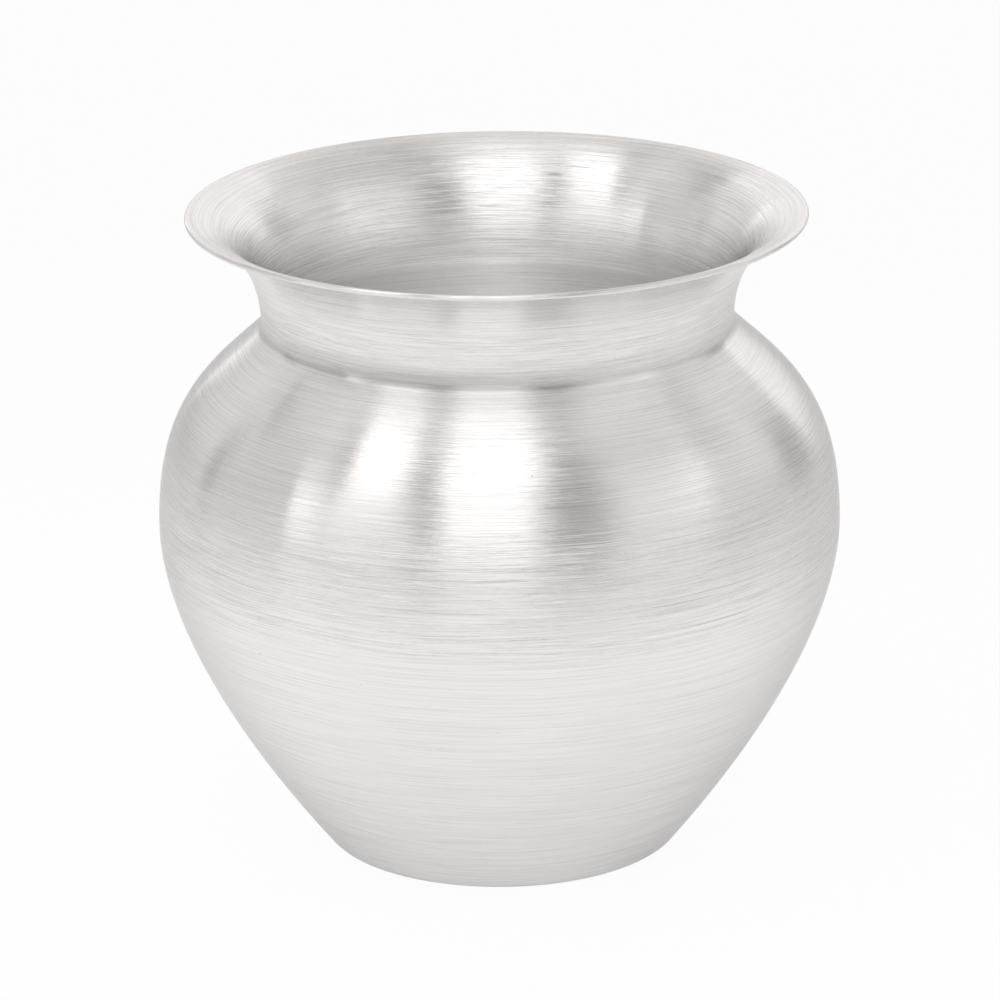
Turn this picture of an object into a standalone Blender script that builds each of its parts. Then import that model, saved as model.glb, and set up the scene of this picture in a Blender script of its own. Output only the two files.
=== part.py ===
"""Lota: a water pot of three spun sheet-metal shells, brazed together at the belly and at the neck.

Metres, +Z up. The origin is the centre of the base, on the surface that the pot stands on.
A profile lies in the plane of radius and height, and every piece is a profile turned about Z.
"""

from math import cos, pi, radians, sin

import bmesh
import bpy
import numpy as np

# Overall sizes
BELLY_RADIUS = 0.0620
BELLY_HEIGHT = 0.0605
NECK_RADIUS = 0.0427
SHOULDER_HEIGHT = 0.0974
MOUTH_RADIUS = 0.0560
POT_HEIGHT = 0.1183
WALL = 0.0010

# Foot: the pot stands on a flat ring round a pressed-in middle
FOOT_RADIUS = 0.0306
FOOT_CORNER = 0.0028
STANDING_RING = 0.0050
BASE_RECESS = 0.0015
RECESS_RAMP = 0.0040

# Flank, from the foot up to the belly: its lean from upright at the foot, and how far each end pulls the curve
FLANK_LEAN = radians(38.5)
FLANK_FOOT_PULL = 0.0282
FLANK_BELLY_PULL = 0.0156

# Shoulder, from the belly up to the neck: its slope from level at the neck, and the pulls of its ends
SHOULDER_SLOPE = radians(46.0)
SHOULDER_BELLY_PULL = 0.0235
SHOULDER_NECK_PULL = 0.0129

# Neck and mouth: an upright foot, then a flare that is nearly level at the lip
NECK_UPRIGHT = 0.0014
LIP_RISE = radians(14.0)
FLARE_NECK_PULL = 0.0074
FLARE_LIP_PULL = 0.0095

# Joints: the shoulder laps over a joggled tongue on the bowl, and the neck stands on the shoulder's edge
SEAT_GAP = 0.0003
LAP_HEIGHT = 0.0045
JOGGLE_HEIGHT = 0.0035
BELLY_FILLET_RISE = 0.0016
BELLY_FILLET_REACH = 0.0011
NECK_FILLET_RISE = 0.0013
NECK_FILLET_REACH = 0.0014
FILLET_EDGE = 0.0002

# Smoothness: steps round the axis, and along each curve
TURN_STEPS = 60
FLANK_STEPS = 10
SHOULDER_STEPS = 9
FLARE_STEPS = 10
RAMP_STEPS = 4
CORNER_STEPS = 4
LIP_STEPS = 6
LAP_STEPS = 2
FILLET_STEPS = 4
SHARP_ANGLE = radians(32.0)


def direction(angle):
    """Unit step in the profile plane: 0 points away from the axis, a quarter turn points up."""
    return np.array((cos(angle), sin(angle)))


def curve(start, start_angle, start_pull, end, end_angle, end_pull, steps):
    """Points and unit headings of a smooth curve that leaves and arrives at the given angles."""
    first = np.array(start)
    last = np.array(end)
    second = first + start_pull * direction(start_angle)
    third = last - end_pull * direction(end_angle)
    t = np.linspace(0.0, 1.0, steps + 1)[:, None]
    s = 1.0 - t
    points = s**3 * first + 3 * t * s**2 * second + 3 * t**2 * s * third + t**3 * last
    heading = s**2 * (second - first) + 2 * t * s * (third - second) + t**2 * (last - third)
    return points, heading / np.linalg.norm(heading, axis=1)[:, None]


def arc(centre, radius, start_angle, end_angle, steps):
    """Points and unit headings of an arc that turns anticlockwise."""
    angles = np.linspace(start_angle, end_angle, steps + 1)
    points = np.array(centre) + radius * np.stack((np.cos(angles), np.sin(angles)), axis=1)
    return points, np.stack((-np.sin(angles), np.cos(angles)), axis=1)


def inside(path, distance):
    """The path moved sideways by the distance, towards the inside of the pot."""
    points, heading = path
    return points + distance * np.stack((-heading[:, 1], heading[:, 0]), axis=1)


def joined(*paths):
    """Several paths as one, without the doubled point where two meet."""
    points = [paths[0][0]] + [path[0][1:] for path in paths[1:]]
    headings = [paths[0][1]] + [path[1][1:] for path in paths[1:]]
    return np.concatenate(points), np.concatenate(headings)


def foot_and_flank():
    """Outer surface of the bowl: recess ramp, standing ring, foot corner, flank up to the belly."""
    ring_inside = FOOT_RADIUS - STANDING_RING
    ramp = curve((ring_inside - RECESS_RAMP, BASE_RECESS), 0.0, RECESS_RAMP / 2,
                 (ring_inside, 0.0), 0.0, RECESS_RAMP / 2, RAMP_STEPS)
    corner = arc((FOOT_RADIUS, FOOT_CORNER), FOOT_CORNER, -pi / 2, -FLANK_LEAN, CORNER_STEPS)
    flank = curve(corner[0][-1], pi / 2 - FLANK_LEAN, FLANK_FOOT_PULL,
                  (BELLY_RADIUS, BELLY_HEIGHT), pi / 2, FLANK_BELLY_PULL, FLANK_STEPS)
    ring = (np.stack((ramp[0][-1], corner[0][0])), np.stack((ramp[1][-1], corner[1][0])))
    return joined(ramp, ring, corner, flank)


def shoulder():
    """Outer surface of the shoulder, from the belly up to the foot of the neck."""
    return curve((BELLY_RADIUS, BELLY_HEIGHT), pi / 2, SHOULDER_BELLY_PULL,
                 (NECK_RADIUS, SHOULDER_HEIGHT), pi - SHOULDER_SLOPE, SHOULDER_NECK_PULL, SHOULDER_STEPS)


def shoulder_inside_radius(height):
    """Radius of the shoulder's inner surface at a height."""
    wall = inside(shoulder(), WALL)
    return np.interp(height, wall[:, 1], wall[:, 0])


def shoulder_top(radius):
    """Height of the shoulder's outer surface at a radius."""
    points, _ = shoulder()
    return np.interp(radius, points[::-1, 0], points[::-1, 1])


def bowl_profile():
    """Section of the bowl: base, flank and the joggled tongue that the shoulder laps over."""
    outer = foot_and_flank()
    inner = inside(outer, WALL)
    tongue_heights = BELLY_HEIGHT + np.linspace(0.0, LAP_HEIGHT, LAP_STEPS + 1)
    tongue = np.stack((shoulder_inside_radius(tongue_heights) - SEAT_GAP, tongue_heights), axis=1)
    tongue_inside = tongue - np.array((WALL, 0.0))
    joggle_height = BELLY_HEIGHT - JOGGLE_HEIGHT
    flank_inside = inner[-FLANK_STEPS - 1:]
    joggle_start = np.array(((np.interp(joggle_height, flank_inside[:, 1], flank_inside[:, 0]), joggle_height),))
    inner_below = inner[inner[:, 1] < joggle_height]
    base_outside = np.array(((0.0, BASE_RECESS),))
    base_inside = np.array(((0.0, BASE_RECESS + WALL),))
    outer_side = (base_outside, outer[0], tongue)
    inner_side = (tongue_inside[::-1], joggle_start, inner_below[::-1], base_inside)
    return np.concatenate(outer_side + inner_side)


def shoulder_profile():
    """Section of the shoulder: its lower edge seats above the bowl's ledge, its upper edge is a level landing."""
    outer = shoulder()
    inner = inside(outer, WALL)
    seat = BELLY_HEIGHT + SEAT_GAP
    opening = NECK_RADIUS - WALL
    lower_outer = np.array(((BELLY_RADIUS, seat),))
    lower_inner = np.array(((shoulder_inside_radius(seat), seat),))
    landing_drop = WALL * (1.0 - sin(SHOULDER_SLOPE)) / cos(SHOULDER_SLOPE)
    landing = np.array(((opening, SHOULDER_HEIGHT), (opening, SHOULDER_HEIGHT - landing_drop)))
    return np.concatenate((lower_outer, outer[0][1:], landing, inner[-2:0:-1], lower_inner))


def neck_profile():
    """Section of the neck and mouth: upright foot, flare and a full-round lip edge."""
    foot = SHOULDER_HEIGHT + SEAT_GAP
    waist = SHOULDER_HEIGHT + NECK_UPRIGHT
    lip_centre = np.array((MOUTH_RADIUS - WALL / 2, POT_HEIGHT - WALL / 2))
    lip_under = lip_centre + WALL / 2 * direction(LIP_RISE - pi / 2)
    flare = curve((NECK_RADIUS, waist), pi / 2, FLARE_NECK_PULL, lip_under, LIP_RISE, FLARE_LIP_PULL, FLARE_STEPS)
    lip, _ = arc(lip_centre, WALL / 2, LIP_RISE - pi / 2, LIP_RISE + pi / 2, LIP_STEPS)
    foot_edge = np.array(((NECK_RADIUS - WALL, foot), (NECK_RADIUS, foot)))
    return np.concatenate((foot_edge, flare[0], lip[1:], inside(flare, WALL)[-2::-1]))


def neck_fillet_profile():
    """Section of the braze in the crease: a concave fillet between the neck and the shoulder."""
    wall = NECK_RADIUS + SEAT_GAP
    reach = NECK_RADIUS + NECK_FILLET_REACH
    clear = SEAT_GAP / cos(SHOULDER_SLOPE)
    crown = SHOULDER_HEIGHT + NECK_FILLET_RISE
    toe = shoulder_top(reach) + clear
    face, _ = curve((reach, toe + FILLET_EDGE), pi - SHOULDER_SLOPE, NECK_FILLET_REACH / 2,
                    (wall + FILLET_EDGE, crown), pi / 2, NECK_FILLET_RISE / 2, FILLET_STEPS)
    back = np.array(((wall, crown), (wall, shoulder_top(wall) + clear), (reach, toe)))
    return np.concatenate((face, back))


def belly_fillet_profile():
    """Section of the braze inside the belly: a concave fillet on the tongue's top edge, against the shoulder."""
    ledge = BELLY_HEIGHT + LAP_HEIGHT + SEAT_GAP
    crown = ledge + BELLY_FILLET_RISE
    corner = shoulder_inside_radius(ledge) - SEAT_GAP
    crown_wall = shoulder_inside_radius(crown) - SEAT_GAP
    toe = corner - BELLY_FILLET_REACH
    face, _ = curve((crown_wall - FILLET_EDGE, crown), -pi / 2, BELLY_FILLET_RISE / 2,
                    (toe, ledge + FILLET_EDGE), pi, BELLY_FILLET_REACH / 2, FILLET_STEPS)
    back = np.array(((toe, ledge), (corner, ledge), (crown_wall, crown)))
    return np.concatenate((face, back))


def metal(name, colour, roughness):
    """Metal finish with a colour and a roughness."""
    material = bpy.data.materials.new(name)
    material.use_nodes = True
    shader = material.node_tree.nodes["Principled BSDF"]
    shader.inputs["Base Color"].default_value = (*colour, 1.0)
    shader.inputs["Metallic"].default_value = 1.0
    shader.inputs["Roughness"].default_value = roughness
    return material


def turned(name, profile, seat_height, material, parent):
    """A piece turned from its profile about Z, with its own origin at the height where it seats."""
    shape = bmesh.new()
    corners = [shape.verts.new((radius, 0.0, height - seat_height)) for radius, height in profile]
    sides = [shape.edges.new(pair) for pair in zip(corners, corners[1:])]
    if profile[0][0] > 0.0:
        sides.append(shape.edges.new((corners[-1], corners[0])))
    bmesh.ops.spin(shape, geom=corners + sides, cent=(0.0, 0.0, 0.0), axis=(0.0, 0.0, 1.0),
                   angle=2 * pi, steps=TURN_STEPS, use_merge=True)
    bmesh.ops.remove_doubles(shape, verts=shape.verts, dist=WALL / 1000)
    bmesh.ops.recalc_face_normals(shape, faces=shape.faces)
    mesh = bpy.data.meshes.new(name)
    shape.to_mesh(mesh)
    shape.free()
    mesh.shade_smooth()
    mesh.set_sharp_from_angle(angle=SHARP_ANGLE)
    mesh.materials.append(material)
    piece = bpy.data.objects.new(name, mesh)
    piece.location = (0.0, 0.0, seat_height)
    piece.parent = parent
    bpy.context.collection.objects.link(piece)
    return piece


def build():
    """The three shells and the two brazed seams, standing on the base."""
    for old in list(bpy.data.objects):
        bpy.data.objects.remove(old, do_unlink=True)
    stand = bpy.data.objects.new("stand", None)
    bpy.context.collection.objects.link(stand)
    sheet_colour = (0.78, 0.765, 0.745)
    braze_colour = (0.72, 0.70, 0.66)
    turned("lower_bowl", bowl_profile(), 0.0, metal("bowl_metal", sheet_colour, 0.32), stand)
    turned("shoulder_shell", shoulder_profile(), BELLY_HEIGHT, metal("shoulder_metal", sheet_colour, 0.28), stand)
    turned("neck_and_mouth", neck_profile(), SHOULDER_HEIGHT, metal("neck_metal", sheet_colour, 0.28), stand)
    turned("belly_braze", belly_fillet_profile(), BELLY_HEIGHT, metal("belly_braze_metal", braze_colour, 0.40), stand)
    turned("neck_braze", neck_fillet_profile(), SHOULDER_HEIGHT, metal("neck_braze_metal", braze_colour, 0.35), stand)


build()
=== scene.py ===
import math

import bmesh
import bpy
import numpy as np
from mathutils import Matrix, Vector


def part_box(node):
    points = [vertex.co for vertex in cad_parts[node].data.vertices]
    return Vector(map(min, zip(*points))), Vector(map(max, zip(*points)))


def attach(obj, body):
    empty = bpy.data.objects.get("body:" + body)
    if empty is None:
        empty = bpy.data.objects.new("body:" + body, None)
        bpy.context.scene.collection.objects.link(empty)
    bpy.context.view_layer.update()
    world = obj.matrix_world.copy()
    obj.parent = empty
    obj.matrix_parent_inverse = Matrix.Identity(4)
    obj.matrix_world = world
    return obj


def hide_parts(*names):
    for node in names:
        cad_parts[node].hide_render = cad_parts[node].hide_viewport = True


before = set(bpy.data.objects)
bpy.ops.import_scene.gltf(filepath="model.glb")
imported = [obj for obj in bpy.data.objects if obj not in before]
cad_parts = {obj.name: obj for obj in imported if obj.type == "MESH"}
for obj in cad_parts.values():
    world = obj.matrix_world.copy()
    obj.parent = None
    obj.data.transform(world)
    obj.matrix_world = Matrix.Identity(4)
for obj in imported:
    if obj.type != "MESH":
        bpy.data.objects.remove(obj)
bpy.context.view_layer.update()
print("frame loaded:", len(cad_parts), "nodes")

# sizes that the frame gives, in metres: radii from the pieces' widths, heights from their tops
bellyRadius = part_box("lower_bowl")[1].x
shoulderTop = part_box("shoulder_shell")[1].z
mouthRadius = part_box("neck_and_mouth")[1].x
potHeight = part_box("neck_and_mouth")[1].z

# what the sheet and its turning share; angles in degrees, lengths in metres
sheet = dict(
    wall=0.0010,
    columns=320,             # steps round the axis
    bellyHeight=0.0605,      # where the bowl and the shoulder meet
    neckRadius=0.0427,
    outOfRound=0.00006,      # slow waves round the pot, as hand-turned ware has
    # share, waves in a turn, phase, pitch
    slowWaves=((1.0, 2, 0.4, np.inf), (0.6, 3, 1.9, 0.03), (0.35, 5, 0.0, -0.02)),
    turningRipple=0.000004,  # faint rings left by the tool
    ringWaves=((1.0, 0.00065, 0.0, 0.8), (0.7, 0.0011, 1.3, 0.0)),   # share, pitch, phase, sway
    ringSways=3,             # times that the rings sway up and down in a turn
    flatBelow=0.004,         # waves grow to full over this height, so that the standing ring stays flat
    calmWithin=0.02,         # and over this radius, so that the middle of the base stays still
    weld=1e-7,
    sharpAngle=40.0,
    insideTop=0.108,         # height where the inside begins to get the painted glow that stands for the belly's own light
    insideFade=0.020,
    grooveLight=1.35,        # painted glow under the flare, standing for light caught there, as a share of the belly's
)


def stepAt(angle):
    # unit step in the profile plane: cosine outward, sine up
    return np.array((math.cos(angle), math.sin(angle)))


def smoothCurve(start, startAngle, startPull, end, endAngle, endPull, count):
    # cubic curve through two ends: each inner handle lies along its end's angle, at the pull's distance
    first, last = np.array(start), np.array(end)
    second = first + startPull * stepAt(startAngle)
    third = last - endPull * stepAt(endAngle)
    t = np.linspace(0.0, 1.0, count)[:, None]
    s = 1.0 - t
    points = s**3 * first + 3 * t * s**2 * second + 3 * t**2 * s * third + t**3 * last
    heading = s**2 * (second - first) + 2 * t * s * (third - second) + t**2 * (last - third)
    return points, heading / np.linalg.norm(heading, axis=1)[:, None]


def roundCorner(centre, radius, startAngle, endAngle, count):
    # arc: centre plus radius times (cosine, sine) of an evenly turning angle
    angles = np.linspace(startAngle, endAngle, count)
    points = np.array(centre) + radius * np.stack((np.cos(angles), np.sin(angles)), axis=1)
    return points, np.stack((-np.sin(angles), np.cos(angles)), axis=1)


def joinPaths(*paths):
    # paths end to end, dropping the shared point of each pair
    points = [paths[0][0]] + [path[0][1:] for path in paths[1:]]
    headings = [paths[0][1]] + [path[1][1:] for path in paths[1:]]
    return np.concatenate(points), np.concatenate(headings)


def straight(start, end, count):
    # evenly spaced points from start to end, with one heading
    points = np.linspace(np.array(start), np.array(end), count)
    heading = (points[-1] - points[0]) / np.linalg.norm(points[-1] - points[0])
    return points, np.tile(heading, (count, 1))


def insideOf(path, distance):
    # each point moved to the left of its heading, which is towards the inside of the pot
    points, heading = path
    return points + distance * np.stack((-heading[:, 1], heading[:, 0]), axis=1)


def runAlong(points, startRun):
    # distance walked along the profile, from a starting value
    steps = np.linalg.norm(np.diff(points, axis=0), axis=1)
    return startRun + np.concatenate(((0.0,), np.cumsum(steps)))


def handWaves(angle, run):
    # two sums of sines: slow waves of the angle, drifting with the distance walked,
    # and fine rings of the distance walked, swaying with the angle
    slow = sum(share * np.sin(waves * angle + phase + run / pitch)
               for share, waves, phase, pitch in sheet["slowWaves"])
    swing = np.sin(sheet["ringSways"] * angle)
    rings = sum(share * np.sin(run / pitch + phase + sway * swing)
                for share, pitch, phase, sway in sheet["ringWaves"])
    return sheet["outOfRound"] * slow / 2 + sheet["turningRipple"] * rings


def turnedPiece(name, profile, run, innerFrom, replaces, closedRing=True, caughtLight=0.0):
    # profile carried round Z on a grid of profile rows and angle columns; rows on the axis become one pole
    columns, rows = sheet["columns"], len(profile)
    angle = np.arange(columns) * (2 * np.pi / columns)
    radius, height = profile[:, 0], profile[:, 1]
    wave = handWaves(angle[None, :], run[:, None])
    calm = np.clip(height / sheet["flatBelow"], 0.0, 1.0) * np.minimum(radius / sheet["calmWithin"], 1.0)
    wide = radius[:, None] + wave * calm[:, None]
    tall = np.broadcast_to(height[:, None], wide.shape)
    grid = np.stack((wide * np.cos(angle), wide * np.sin(angle), tall), axis=2)
    upper = np.arange(rows if closedRing else rows - 1)
    lower = (upper + 1) % rows
    left = np.arange(columns)
    right = (left + 1) % columns
    corners = np.stack((
        upper[:, None] * columns + left, lower[:, None] * columns + left,
        lower[:, None] * columns + right, upper[:, None] * columns + right), axis=2).reshape(-1, 4)
    mesh = bpy.data.meshes.new(name)
    mesh.from_pydata(grid.reshape(-1, 3).tolist(), [], corners.tolist())
    # rows from innerFrom on face the inside, whose share of painted glow rises smoothly from 0 in the neck to
    # 1 in the belly; caughtLight adds painted glow of its own
    down = np.clip((sheet["insideTop"] - height) / sheet["insideFade"], 0.0, 1.0)
    paintedGlow = np.where(np.arange(rows) >= innerFrom, down**2 * (3 - 2 * down), 0.0) + caughtLight
    for label, values in (("run", run), ("inside", paintedGlow)):
        perPoint = np.repeat(values, columns).astype(np.float32)
        mesh.attributes.new(label, "FLOAT", "POINT").data.foreach_set("value", perPoint)
    along = np.stack((run[upper], run[lower], run[lower], run[upper]), axis=1)
    around = np.stack((left, left, left + 1, left + 1), axis=1) / columns
    alongAll = np.repeat(along[:, None], columns, axis=1)
    brushing = np.stack((alongAll, np.broadcast_to(around, alongAll.shape)), axis=3)
    layer = mesh.uv_layers.new(name="brushing")
    layer.data.foreach_set("uv", brushing.reshape(-1).astype(np.float32))
    weldPoles(mesh)
    mesh.shade_smooth()
    mesh.set_sharp_from_angle(angle=math.radians(sheet["sharpAngle"]))
    piece = bpy.data.objects.new(name, mesh)
    bpy.context.scene.collection.objects.link(piece)
    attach(piece, "root")
    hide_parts(replaces)
    print("piece made:", name, len(mesh.polygons), "faces")
    return piece


def weldPoles(mesh):
    # points that fall together on the axis are merged, then faces are turned outward
    shape = bmesh.new()
    shape.from_mesh(mesh)
    bmesh.ops.remove_doubles(shape, verts=shape.verts, dist=sheet["weld"])
    bmesh.ops.recalc_face_normals(shape, faces=shape.faces)
    shape.to_mesh(mesh)
    shape.free()


# lower bowl: pressed-in base, standing ring, corner, flank and the tongue inside the belly seam
bowl = dict(
    footRadius=0.0306, footCorner=0.0028, standingRing=0.0050, baseRecess=0.0015, recessRamp=0.0040,
    flankLean=38.5, footPull=0.0282, bellyPull=0.0156, lapHeight=0.0045, joggleHeight=0.0035, lapGap=0.0001,
    discRows=12, rampRows=16, ringRows=5, cornerRows=14, flankRows=80, tongueRows=8,
    insideRun=0.2,           # added to the run, so that the inside has lines of its own
)


def bowlOutside():
    # ramp down from the recess, level ring, corner arc, then the flank's curve up to the belly
    lean = math.radians(bowl["flankLean"])
    ringInside = bowl["footRadius"] - bowl["standingRing"]
    ramp = smoothCurve((ringInside - bowl["recessRamp"], bowl["baseRecess"]), 0.0, bowl["recessRamp"] / 2,
                       (ringInside, 0.0), 0.0, bowl["recessRamp"] / 2, bowl["rampRows"])
    disc = straight((0.0, bowl["baseRecess"]), ramp[0][0], bowl["discRows"])
    ring = straight(ramp[0][-1], (bowl["footRadius"], 0.0), bowl["ringRows"])
    corner = roundCorner((bowl["footRadius"], bowl["footCorner"]), bowl["footCorner"],
                         -math.pi / 2, -lean, bowl["cornerRows"])
    belly = (bellyRadius, sheet["bellyHeight"])
    flank = smoothCurve(corner[0][-1], math.pi / 2 - lean, bowl["footPull"],
                        belly, math.pi / 2, bowl["bellyPull"], bowl["flankRows"])
    return joinPaths(disc, ramp, ring, corner, flank)


# shoulder: from the belly up to the neck
shoulder = dict(slope=46.0, bellyPull=0.0235, neckPull=0.0129, rows=80, bendClear=0.0001, insideRun=0.3)


def shoulderOutside():
    # the shoulder's curve, upright at the belly and sloping where it meets the neck
    return smoothCurve((bellyRadius, sheet["bellyHeight"]), math.pi / 2, shoulder["bellyPull"],
                       (sheet["neckRadius"], shoulderTop), math.pi - math.radians(shoulder["slope"]),
                       shoulder["neckPull"], shoulder["rows"])


def shoulderInsideRadius(height):
    # inner wall's radius, read off its points by height
    inner = insideOf(shoulderOutside(), sheet["wall"])
    return np.interp(height, inner[:, 1], inner[:, 0])


# neck and mouth: upright foot, flare, full-round lip, and the soft bend inside the neck
mouth = dict(
    upright=0.0014, lipRise=14.0, neckPull=0.0074, lipPull=0.0095, footRows=6, flareRows=90, lipRows=18,
    insideBend=0.0043, bendRowsBelow=16, bendRowsAbove=12, bendClear=0.00005,
)


def mouthOutside():
    # upright foot of the neck, then the flare out to the underside of the lip
    rise = math.radians(mouth["lipRise"])
    waist = (sheet["neckRadius"], shoulderTop + mouth["upright"])
    lipUnder = lipCentre() + sheet["wall"] / 2 * stepAt(rise - math.pi / 2)
    foot = straight((sheet["neckRadius"], shoulderTop), waist, mouth["footRows"])
    flare = smoothCurve(waist, math.pi / 2, mouth["neckPull"], lipUnder, rise, mouth["lipPull"],
                        mouth["flareRows"])
    return joinPaths(foot, flare)


def lipCentre():
    # half a wall in from the widest point and down from the top
    return np.array((mouthRadius - sheet["wall"] / 2, potHeight - sheet["wall"] / 2))


def neckBend():
    # arc inside the neck from the shoulder's slope to the upright, split where the two shells meet
    slope = math.radians(shoulder["slope"])
    radius = mouth["insideBend"]
    centre = (sheet["neckRadius"] - sheet["wall"] + radius, shoulderTop + mouth["upright"])
    level = math.pi + math.asin(mouth["upright"] / radius)
    below = roundCorner(centre, radius, 3 * math.pi / 2 - slope, level, mouth["bendRowsBelow"])[0]
    above = roundCorner(centre, radius, level, math.pi, mouth["bendRowsAbove"])[0]
    return below, above


bowlPath = bowlOutside()
shoulderPath = shoulderOutside()
mouthPath = mouthOutside()
bowlRun = runAlong(bowlPath[0], 0.0)
shoulderRun = runAlong(shoulderPath[0], bowlRun[-1])
mouthRun = runAlong(mouthPath[0], shoulderRun[-1])
print("profiles made:", len(bowlRun) + len(shoulderRun) + len(mouthRun), "rows outside")


def makeBowl():
    # outer wall up to the seam, ledge, tongue inside the shoulder, then the inner wall back down to the axis
    inner = insideOf(bowlPath, sheet["wall"])
    joggle = sheet["bellyHeight"] - bowl["joggleHeight"]
    heights = np.linspace(sheet["bellyHeight"], sheet["bellyHeight"] + bowl["lapHeight"], bowl["tongueRows"])
    tongue = np.stack((shoulderInsideRadius(heights) - bowl["lapGap"], heights), axis=1)
    tongueInside = tongue - np.array((sheet["wall"], 0.0))
    innerBelow = inner[inner[:, 1] < joggle]
    innerWall = np.concatenate((tongue, tongueInside[::-1], innerBelow[::-1]))
    run = np.concatenate((bowlRun, runAlong(innerWall, bowlRun[-1] + bowl["insideRun"])))
    return turnedPiece("lowerBowl", np.concatenate((bowlPath[0], innerWall)), run, len(bowlRun), "lower_bowl",
                       closedRing=False)


def makeShoulder():
    # outer wall, level landing under the neck, soft bend, inner wall back down
    bend = neckBend()[0]
    inner = insideOf(shoulderPath, sheet["wall"])
    inner = inner[inner[:, 1] < bend[0, 1] - shoulder["bendClear"]]
    innerWall = np.concatenate((bend[::-1], inner[::-1]))
    profile = np.concatenate((shoulderPath[0], innerWall))
    run = np.concatenate((shoulderRun, runAlong(innerWall, shoulderRun[-1] + shoulder["insideRun"])))
    return turnedPiece("shoulderShell", profile, run, len(shoulderRun), "shoulder_shell")


def makeMouth():
    # outer wall, half-round lip edge, inner wall back down to the neck's foot
    rise = math.radians(mouth["lipRise"])
    lip = roundCorner(lipCentre(), sheet["wall"] / 2,
                      rise - math.pi / 2, rise + math.pi / 2, mouth["lipRows"])[0]
    bend = neckBend()[1]
    inner = insideOf(mouthPath, sheet["wall"])
    inner = inner[inner[:, 1] > bend[-1, 1] + mouth["bendClear"]]
    profile = np.concatenate((mouthPath[0], lip[1:], inner[::-1][1:], bend[::-1]))
    run = runAlong(profile, mouthRun[0])
    # painted glow in the groove under the flare, standing for light caught there: nothing at the neck's foot,
    # rising smoothly to the lip's underside
    up = (mouthPath[0][:, 1] - shoulderTop) / (potHeight - shoulderTop)
    caught = np.zeros(len(profile))
    caught[:len(up)] = sheet["grooveLight"] * up**2 * (3 - 2 * up)
    return turnedPiece("neckAndMouth", profile, run, len(mouthRun) + len(lip), "neck_and_mouth",
                       caughtLight=caught)


# filler in the neck crease; sink is how far its back lies inside the sheets
neckFiller = dict(reach=0.0011, pull=0.64, sink=0.00008, rows=28)


def makeNeckSeam():
    # hollow fillet from the shoulder's slope to the neck's wall, its toes sunk a hair into both
    points, heading = shoulderPath
    size, sink = neckFiller["reach"], neckFiller["sink"]
    reach = sheet["neckRadius"] + size * math.cos(math.radians(shoulder["slope"]))
    toeHeight = np.interp(reach, points[::-1, 0], points[::-1, 1])
    toeAngle = np.interp(reach, points[::-1, 0], np.arctan2(heading[::-1, 1], heading[::-1, 0]))
    crown = (sheet["neckRadius"], shoulderTop + size)
    pull = neckFiller["pull"] * size
    face = smoothCurve((reach, toeHeight), toeAngle, pull, crown, math.pi / 2, pull, neckFiller["rows"])[0]
    back = np.array(((crown[0] - sink, crown[1]), (sheet["neckRadius"] - sink, shoulderTop - sink),
                     (reach, toeHeight - sink)))
    profile = np.concatenate((face, back))
    run = runAlong(profile, shoulderRun[-1] - size)
    return turnedPiece("neckSeam", profile, run, len(profile), "neck_braze")


# filler on the belly lap, inside
bellyFiller = dict(rise=0.0016, reach=0.0011, pull=0.7, sink=0.00008, rows=16, startRun=0.6)


def makeBellySeam():
    # hollow fillet on the tongue's top edge, up the shoulder's inner wall
    sink = bellyFiller["sink"]
    ledge = sheet["bellyHeight"] + bowl["lapHeight"]
    crown = ledge + bellyFiller["rise"]
    corner = float(shoulderInsideRadius(ledge))
    crownWall = float(shoulderInsideRadius(crown))
    toe = corner - bellyFiller["reach"]
    pull = bellyFiller["pull"]
    face = smoothCurve((crownWall, crown), -math.pi / 2, bellyFiller["rise"] * pull,
                       (toe, ledge), math.pi, bellyFiller["reach"] * pull, bellyFiller["rows"])[0]
    back = np.array(((toe, ledge - sink), (corner + sink, ledge - sink), (crownWall + sink, crown)))
    profile = np.concatenate((face, back))
    run = runAlong(profile, bellyFiller["startRun"])
    return turnedPiece("bellySeam", profile, run, 0, "belly_braze")


def addNode(tree, kind, inputs=None, **settings):
    # one node with its settings, its inputs set by name or number, linked where the value is a socket
    node = tree.nodes.new(kind)
    for key, value in settings.items():
        setattr(node, key, value)
    for key, value in (inputs or {}).items():
        socket = node.inputs[key]
        if isinstance(value, bpy.types.NodeSocket):
            tree.links.new(value, socket)
        else:
            socket.default_value = value
    return node


def calc(tree, operation, first, second=0.0, third=None):
    # one sum on values
    inputs = {0: first, 1: second}
    if third is not None:
        inputs[2] = third
    return addNode(tree, "ShaderNodeMath", inputs, operation=operation).outputs[0]


# how the lines wander: slow noise per metre walked and per turn; lengths are measured at this radius
lineWander = dict(perMetre=45.0, around=2.6, radius=0.05, seedSide=1.7)


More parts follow.
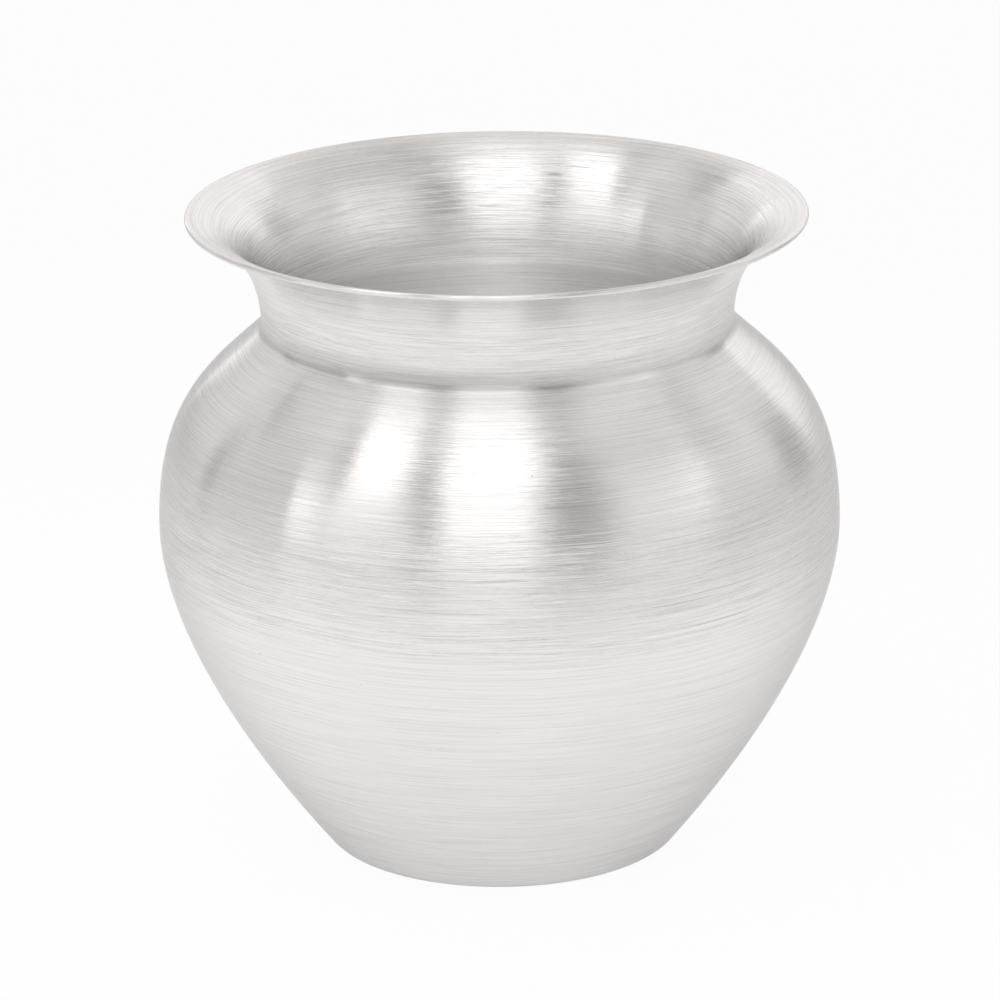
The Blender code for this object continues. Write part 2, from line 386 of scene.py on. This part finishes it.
def brushMarkGroup():
    # lines that run round the axis: noise on (direction round the axis / line length,
    # distance walked / line width), the walked distance shifted by slow noise, so that lines tilt and cross
    group = bpy.data.node_groups.new("brushMarks", "ShaderNodeTree")
    face = group.interface
    face.new_socket("Position", in_out="INPUT", socket_type="NodeSocketVector")
    for label in ("Run", "Line Width", "Line Length", "Wander", "Seed"):
        face.new_socket(label, in_out="INPUT", socket_type="NodeSocketFloat")
    face.new_socket("Height", in_out="OUTPUT", socket_type="NodeSocketFloat")
    given = group.nodes.new("NodeGroupInput").outputs
    level = {0: given["Position"], 1: (1.0, 1.0, 0.0)}
    flat = addNode(group, "ShaderNodeVectorMath", level, operation="MULTIPLY").outputs[0]
    towards = addNode(group, "ShaderNodeVectorMath", {0: flat}, operation="NORMALIZE").outputs[0]
    slowRun = calc(group, "MULTIPLY", given["Run"], lineWander["perMetre"])
    slowLift = {0: given["Seed"], 1: given["Seed"], 2: slowRun}
    slowLift = addNode(group, "ShaderNodeCombineXYZ", slowLift).outputs[0]
    slowSpot = {0: towards, 1: (lineWander["around"], lineWander["around"], 1.0), 2: slowLift}
    slowPlace = addNode(group, "ShaderNodeVectorMath", slowSpot, operation="MULTIPLY_ADD").outputs[0]
    slow = {"Vector": slowPlace, "Scale": 1.0, "Detail": 1.0}
    slow = addNode(group, "ShaderNodeTexNoise", slow).outputs["Fac"]
    shift = calc(group, "MULTIPLY", calc(group, "SUBTRACT", slow, 0.5), given["Wander"])
    line = calc(group, "DIVIDE", calc(group, "ADD", given["Run"], shift), given["Line Width"])
    around = calc(group, "DIVIDE", lineWander["radius"], given["Line Length"])
    turn = addNode(group, "ShaderNodeVectorMath", {0: towards, "Scale": around}, operation="SCALE").outputs[0]
    side = calc(group, "MULTIPLY", given["Seed"], lineWander["seedSide"])
    lift = addNode(group, "ShaderNodeCombineXYZ", {0: given["Seed"], 1: side, 2: line}).outputs[0]
    place = addNode(group, "ShaderNodeVectorMath", {0: turn, 1: lift}, operation="ADD").outputs[0]
    grain = {"Vector": place, "Scale": 1.0, "Detail": 1.0, "Roughness": 0.5}
    noise = addNode(group, "ShaderNodeTexNoise", grain).outputs["Fac"]
    addNode(group, "NodeGroupOutput", {"Height": noise})
    print("group made: brushMarks")
    return group


def pitMarkGroup():
    # pinholes: spots round scattered points, full within a third of their radius and fading out at its edge
    group = bpy.data.node_groups.new("pitMarks", "ShaderNodeTree")
    group.interface.new_socket("Position", in_out="INPUT", socket_type="NodeSocketVector")
    for label in ("Spacing", "Radius"):
        group.interface.new_socket(label, in_out="INPUT", socket_type="NodeSocketFloat")
    group.interface.new_socket("Pit", in_out="OUTPUT", socket_type="NodeSocketFloat")
    given = group.nodes.new("NodeGroupInput").outputs
    often = calc(group, "DIVIDE", 1.0, given["Spacing"])
    near = {"Vector": given["Position"], "Scale": often}
    near = addNode(group, "ShaderNodeTexVoronoi", near).outputs["Distance"]
    reach = calc(group, "DIVIDE", given["Radius"], given["Spacing"])
    fade = {"Value": near, "From Min": reach, "From Max": calc(group, "DIVIDE", reach, 3.0)}
    spot = addNode(group, "ShaderNodeMapRange", fade, interpolation_type="SMOOTHSTEP").outputs[0]
    addNode(group, "NodeGroupOutput", {"Pit": spot})
    print("group made: pitMarks")
    return group


def brushedMetal(name, look):
    # white metal: hairlines, coarser lines, strokes and pinholes give height, roughness and a little colour
    material = bpy.data.materials.new(name)
    material.use_nodes = True
    tree = material.node_tree
    shader = tree.nodes["Principled BSDF"]
    position = addNode(tree, "ShaderNodeTexCoord").outputs["Object"]
    run = addNode(tree, "ShaderNodeAttribute", attribute_name="run").outputs["Fac"]

    def lines(kind):
        # one layer of lines: the shared group with this kind's width, length, wander and seed
        width, length, wander, seed = look[kind]
        given = {"Position": position, "Run": run, "Line Width": width, "Line Length": length,
                 "Wander": wander, "Seed": seed}
        return addNode(tree, "ShaderNodeGroup", given, node_tree=brushMarks).outputs["Height"]

    def only(value, low, high):
        # smooth ramp from 0 at low to 1 at high
        ramp = {"Value": value, "From Min": low, "From Max": high}
        return addNode(tree, "ShaderNodeMapRange", ramp, interpolation_type="SMOOTHSTEP").outputs[0]

    def spread(value, amount, middle):
        # middle plus amount times how far the value lies from a half
        return calc(tree, "MULTIPLY_ADD", calc(tree, "SUBTRACT", value, 0.5), amount, middle)

    fine, coarse, strokes = lines("fine"), lines("coarse"), lines("stroke")
    stroke = calc(tree, "SUBTRACT", only(strokes, *look["strokeRidge"]), only(strokes, *look["strokeGroove"]))
    # strokes are deepest on the belt that rubs against things: full near its middle, a small rest elsewhere
    fromBelt = calc(tree, "ABSOLUTE", calc(tree, "SUBTRACT", run, look["beltRun"]))
    belt = only(fromBelt, look["beltReach"], look["beltCore"] * look["beltReach"])
    wear = calc(tree, "MULTIPLY_ADD", belt, 1.0 - look["strokeRest"], look["strokeRest"])
    pitSizes = {"Position": position, "Spacing": look["pit"][0], "Radius": look["pit"][1]}
    pits = addNode(tree, "ShaderNodeGroup", pitSizes, node_tree=pitMarks).outputs["Pit"]
    cloud = {"Vector": position, "Scale": look["mottleScale"], "Detail": 3.0}
    mottle = addNode(tree, "ShaderNodeTexNoise", cloud).outputs["Fac"]

    height = calc(tree, "MULTIPLY", fine, look["fineDepth"])
    height = calc(tree, "MULTIPLY_ADD", coarse, look["coarseDepth"], height)
    height = calc(tree, "MULTIPLY_ADD", calc(tree, "MULTIPLY", stroke, wear), look["strokeDepth"], height)
    height = calc(tree, "MULTIPLY_ADD", pits, -look["pitDepth"], height)
    bump = addNode(tree, "ShaderNodeBump", {"Height": height, "Strength": 1.0, "Distance": 1.0})
    tree.links.new(bump.outputs["Normal"], shader.inputs["Normal"])

    shade = spread(fine, look["fineShade"], 1.0)
    shade = spread(coarse, look["coarseShade"], shade)
    shade = calc(tree, "MULTIPLY_ADD", stroke, look["strokeShade"], shade)
    shade = spread(mottle, look["mottleShade"], shade)
    shade = calc(tree, "MULTIPLY_ADD", pits, -look["pitShade"], shade)
    # painted shade in the crease under the neck: full at the crease, fading up the neck and at once down the
    # shoulder, and gathered on one side of the pot, the camera's, by a power of how far round it lies
    past = calc(tree, "SUBTRACT", run, float(shoulderRun[-1]))
    above = only(past, look["creaseUp"], look["creaseDown"])
    crease = calc(tree, "MULTIPLY", above, only(past, -look["creaseDown"], 0.0))
    facing = {0: position, 1: look["creaseSide"]}
    facing = addNode(tree, "ShaderNodeVectorMath", facing, operation="DOT_PRODUCT").outputs["Value"]
    facing = calc(tree, "MULTIPLY_ADD", facing, 0.5 / sheet["neckRadius"], 0.5)
    paintedShadeSide = calc(tree, "POWER", facing, look["creaseGather"])
    paintedShadeSide = calc(tree, "MULTIPLY_ADD", paintedShadeSide, 1.0 - look["creaseRest"], look["creaseRest"])
    crease = calc(tree, "MULTIPLY", crease, paintedShadeSide)
    shade = calc(tree, "MULTIPLY", shade, calc(tree, "MULTIPLY_ADD", crease, -look["creaseShade"], 1.0))
    tint = {0: look["colour"], "Scale": shade}
    tint = addNode(tree, "ShaderNodeVectorMath", tint, operation="SCALE").outputs[0]
    tree.links.new(tint, shader.inputs["Base Color"])

    rough = spread(coarse, look["roughSpread"], look["roughness"])
    rough = calc(tree, "MULTIPLY_ADD", pits, look["pitRough"], rough)
    tree.links.new(rough, shader.inputs["Roughness"])
    # painted light: a faint glow inside the belly and under the flare stands for light that goes round there
    # many times
    inside = addNode(tree, "ShaderNodeAttribute", attribute_name="inside").outputs["Fac"]
    glow = {0: look["colour"], "Scale": inside}
    glow = addNode(tree, "ShaderNodeVectorMath", glow, operation="SCALE").outputs[0]
    tree.links.new(glow, shader.inputs["Emission Color"])
    shader.inputs["Emission Strength"].default_value = look["insideGlow"]

    shader.inputs["Metallic"].default_value = 1.0
    shader.inputs["Anisotropic"].default_value = look["anisotropic"]
    shader.inputs["Specular Tint"].default_value = (look["edge"], look["edge"], look["edge"], 1.0)
    tangent = addNode(tree, "ShaderNodeTangent", direction_type="UV_MAP", uv_map="brushing")
    tree.links.new(tangent.outputs[0], shader.inputs["Tangent"])
    print("material made:", name)
    return material


# finish of the sheet, brushed round the axis;
# each kind of line has its width, length and wander in metres, and a seed
sheetFinish = dict(
    colour=(0.920, 0.911, 0.905), edge=0.80, roughness=0.185, anisotropic=1.0, roughSpread=0.11,
    fine=(0.00009, 0.020, 0.0008, 3.1), fineDepth=0.000028, fineShade=0.50,
    coarse=(0.00017, 0.036, -0.0012, 11.7), coarseDepth=0.000011, coarseShade=0.22,
    stroke=(0.00015, 0.022, 0.0016, 27.3), strokeDepth=0.000040, strokeShade=0.03,
    strokeRidge=(0.60, 0.72), strokeGroove=(0.40, 0.28),     # noise values where a stroke begins and is full
    strokeRest=0.10, beltRun=float(bowlRun[-1]) + 0.004, beltReach=0.014, beltCore=0.4,
    # painted shade in the neck crease: its reach up and down, strength, side, gathering and rest
    creaseUp=0.0055, creaseDown=0.0006, creaseShade=0.34, creaseSide=(-0.342, -0.940, 0.0),
    creaseGather=6.0, creaseRest=0.15,
    insideGlow=0.078,
    pit=(0.0038, 0.00022), pitDepth=0.000015, pitShade=0.12, pitRough=0.15,
    mottleScale=38.0, mottleShade=0.06,
)
# the neck and the inside of the mouth show longer, coarser lines; their lighter edge tint is painted light
# that brightens the neck under the lip
mouthFinish = dict(sheetFinish, edge=0.87, coarse=(0.00019, 0.040, -0.0012, 11.7), coarseDepth=0.000014,
                   fineShade=0.56, coarseShade=0.30, strokeRest=0.4)
# dressed filler in the seams
seamFinish = dict(sheetFinish, colour=(0.905, 0.894, 0.887))

brushMarks = brushMarkGroup()
pitMarks = pitMarkGroup()
lowerBowl = makeBowl()
shoulderShell = makeShoulder()
neckAndMouth = makeMouth()
neckSeam = makeNeckSeam()
bellySeam = makeBellySeam()
lowerBowl.data.materials.append(brushedMetal("brushedBowl", sheetFinish))
shoulderShell.data.materials.append(brushedMetal("brushedShoulder", sheetFinish))
neckAndMouth.data.materials.append(brushedMetal("brushedMouth", mouthFinish))
seamMetal = brushedMetal("dressedSeam", seamFinish)
neckSeam.data.materials.append(seamMetal)
bellySeam.data.materials.append(seamMetal)

# studio: white table, grey room, and soft panels placed by the direction they stand in from the pot
studio = dict(
    floorSize=8.0, floorColour=(0.922, 0.930, 0.936), floorGlow=0.172, floorWhite=0.92,
    floorRoughness=0.9, floorShine=0.1,
    glowReach=(0.06, 0.50), glowCentre=(-0.06, -0.06, 0.0),
    roomColour=(0.430, 0.408, 0.398), lampColour=(0.990, 0.997, 1.0),
    aim=Vector((0.0, 0.0, 0.07)), distance=1.6,
)
# name, from (azimuth, elevation) to (azimuth, elevation), width in degrees, brightness;
# azimuth 0 is the camera's side
panels = [
    ("frontPanel", (-3.5, 33), (-3.5, 55), 30.0, 0.55),
    ("frontPanelTop", (-3.5, 55), (-3.5, 72), 27.0, 1.28),
    ("frontPanelHigh", (-3.5, 72), (-3.5, 95), 21.5, 0.60),
    ("frontPanelOver", (-3.5, 95), (-3.5, 116), 12.0, 0.60),
    ("frontScreen", (-3.5, 4), (-3.5, 33), 33.0, 0.78),
    ("leftBox", (-50, 33), (-56, 48), 18.0, 0.52),
    ("leftBoxTop", (-56, 48), (-66, 62), 17.0, 1.20),
    ("leftBoxScreen", (-52, 6), (-54, 33), 46.0, 0.56),
    ("leftStrip", (-70, 62), (-95, 70), 14.0, 1.16),
    ("backStrip", (-95, 68), (-164, 66), 12.0, 0.59),
    ("leftLow", (-90, 2), (-90, 22), 48.0, 0.21),
    ("leftMiddle", (-92, 22), (-96, 44), 40.0, 0.20),
    ("leftHigh", (-105, 44), (-115, 62), 30.0, 0.34),
    ("leftBack", (-140, 2), (-140, 38), 38.0, 0.30),
    ("rightLow", (58, 2), (58, 22), 38.0, 0.41),
    ("rightMiddle", (60, 22), (70, 46), 36.0, 0.39),
    ("rightHigh", (74, 46), (90, 64), 34.0, 0.24),
    ("rightBack", (98, 4), (98, 40), 36.0, 0.29),
    ("rightRear", (126, 18), (126, 52), 20.0, 0.20),
    ("backLow", (170, 1), (170, 20), 70.0, 0.58),
    ("backMiddle", (170, 20), (170, 42), 60.0, 0.54),
    ("backHigh", (170, 42), (170, 72), 60.0, 0.17),
]


def pointAt(azimuth, elevation):
    # unit vector: azimuth turns from the camera's side (-Y) towards +X, elevation lifts it
    a, e = math.radians(azimuth), math.radians(elevation)
    return Vector((math.sin(a) * math.cos(e), -math.cos(a) * math.cos(e), math.sin(e)))


def facingPot(start, end, widthAngle, reach):
    # flat rectangle facing the pot: centred between two directions, as long as the angle between them
    first, last = pointAt(*start), pointAt(*end)
    centre = (first + last).normalized()
    tall = 2 * reach * math.tan(first.angle(last) / 2)
    wide = 2 * reach * math.tan(math.radians(widthAngle) / 2)
    yAxis = (last - first - (last - first).dot(centre) * centre).normalized()
    turn = Matrix((yAxis.cross(centre), yAxis, centre)).transposed().to_4x4()
    return Matrix.Translation(studio["aim"] + reach * centre) @ turn, wide, tall


def addPanel(name, start, end, widthAngle, brightness):
    # soft light as large as its rectangle; power is brightness times pi times area
    place, wide, tall = facingPot(start, end, widthAngle, studio["distance"])
    lamp = bpy.data.lights.new(name, "AREA")
    lamp.shape = "RECTANGLE"
    lamp.size, lamp.size_y = wide, tall
    lamp.color = studio["lampColour"]
    lamp.energy = math.pi * wide * tall * brightness
    piece = bpy.data.objects.new(name, lamp)
    piece.matrix_world = place
    bpy.context.scene.collection.objects.link(piece)


def makeStudio():
    # floor square, flat and slightly glowing, as a lit white table; room light even all round
    half = studio["floorSize"] / 2
    mesh = bpy.data.meshes.new("floor")
    square = [(-half, -half, 0), (half, -half, 0), (half, half, 0), (-half, half, 0)]
    mesh.from_pydata(square, [], [(0, 1, 2, 3)])
    floor = bpy.data.objects.new("floor", mesh)
    bpy.context.scene.collection.objects.link(floor)
    white = bpy.data.materials.new("whiteTable")
    white.use_nodes = True
    tree = white.node_tree
    shader = tree.nodes["Principled BSDF"]
    shader.inputs["Base Color"].default_value = (*studio["floorColour"], 1.0)
    shader.inputs["Roughness"].default_value = studio["floorRoughness"]
    shader.inputs["Specular IOR Level"].default_value = studio["floorShine"]
    shader.inputs["Emission Strength"].default_value = studio["floorGlow"]
    # the lit pool round the pot falls to nothing with distance
    away = {0: addNode(tree, "ShaderNodeTexCoord").outputs["Object"], 1: studio["glowCentre"]}
    away = addNode(tree, "ShaderNodeVectorMath", away, operation="DISTANCE").outputs["Value"]
    pool = {"Value": away, "From Min": studio["glowReach"][1], "From Max": studio["glowReach"][0]}
    pool = addNode(tree, "ShaderNodeMapRange", pool, interpolation_type="SMOOTHSTEP").outputs[0]
    tree.links.new(pool, shader.inputs["Emission Color"])
    # seen directly the table is burnt out to white, all but a trace of shadow; the metal sees it as it is lit
    burnt = {"Color": (1.0, 1.0, 1.0, 1.0), "Strength": 1.0}
    burnt = addNode(tree, "ShaderNodeEmission", burnt).outputs[0]
    seen = addNode(tree, "ShaderNodeLightPath").outputs["Is Camera Ray"]
    seen = calc(tree, "MULTIPLY", seen, studio["floorWhite"])
    mixed = addNode(tree, "ShaderNodeMixShader", {0: seen, 1: shader.outputs[0], 2: burnt}).outputs[0]
    tree.links.new(mixed, tree.nodes["Material Output"].inputs["Surface"])
    mesh.materials.append(white)
    world = bpy.data.worlds.new("room")
    bpy.context.scene.world = world
    world.use_nodes = True
    world.node_tree.nodes["Background"].inputs["Color"].default_value = (*studio["roomColour"], 1.0)
    for panel in panels:
        addPanel(*panel)
    bpy.context.scene.view_settings.view_transform = "Standard"
    print("studio made:", len(panels), "panels")


# camera: a long lens a metre away, a little above the mouth and rolled by under a degree;
# lengths in metres, angles in radians, focal length and image width in pixels
view = dict(
    distance=1.0, height=0.39329, lookDown=0.3187, roll=-0.0105, turn=-0.0001,
    focal=5773.0, imageWidth=1000.0, sensorWidth=36.0, near=0.01, far=50.0,
)


def makeCamera():
    # placed on -Y, looking along +Y and down; roll turns it about its own axis
    lens = bpy.data.cameras.new("camera")
    lens.sensor_width = view["sensorWidth"]
    lens.lens = lens.sensor_width * view["focal"] / view["imageWidth"]
    lens.clip_start, lens.clip_end = view["near"], view["far"]
    camera = bpy.data.objects.new("camera", lens)
    place = Matrix.Translation((0.0, -view["distance"], view["height"]))
    turn = Matrix.Rotation(view["turn"], 4, "Z") @ Matrix.Rotation(math.pi / 2 - view["lookDown"], 4, "X")
    camera.matrix_world = place @ turn @ Matrix.Rotation(view["roll"], 4, "Z")
    bpy.context.scene.collection.objects.link(camera)
    bpy.context.scene.camera = camera
    print("camera made:", round(lens.lens, 1), "mm")


makeStudio()
makeCamera()
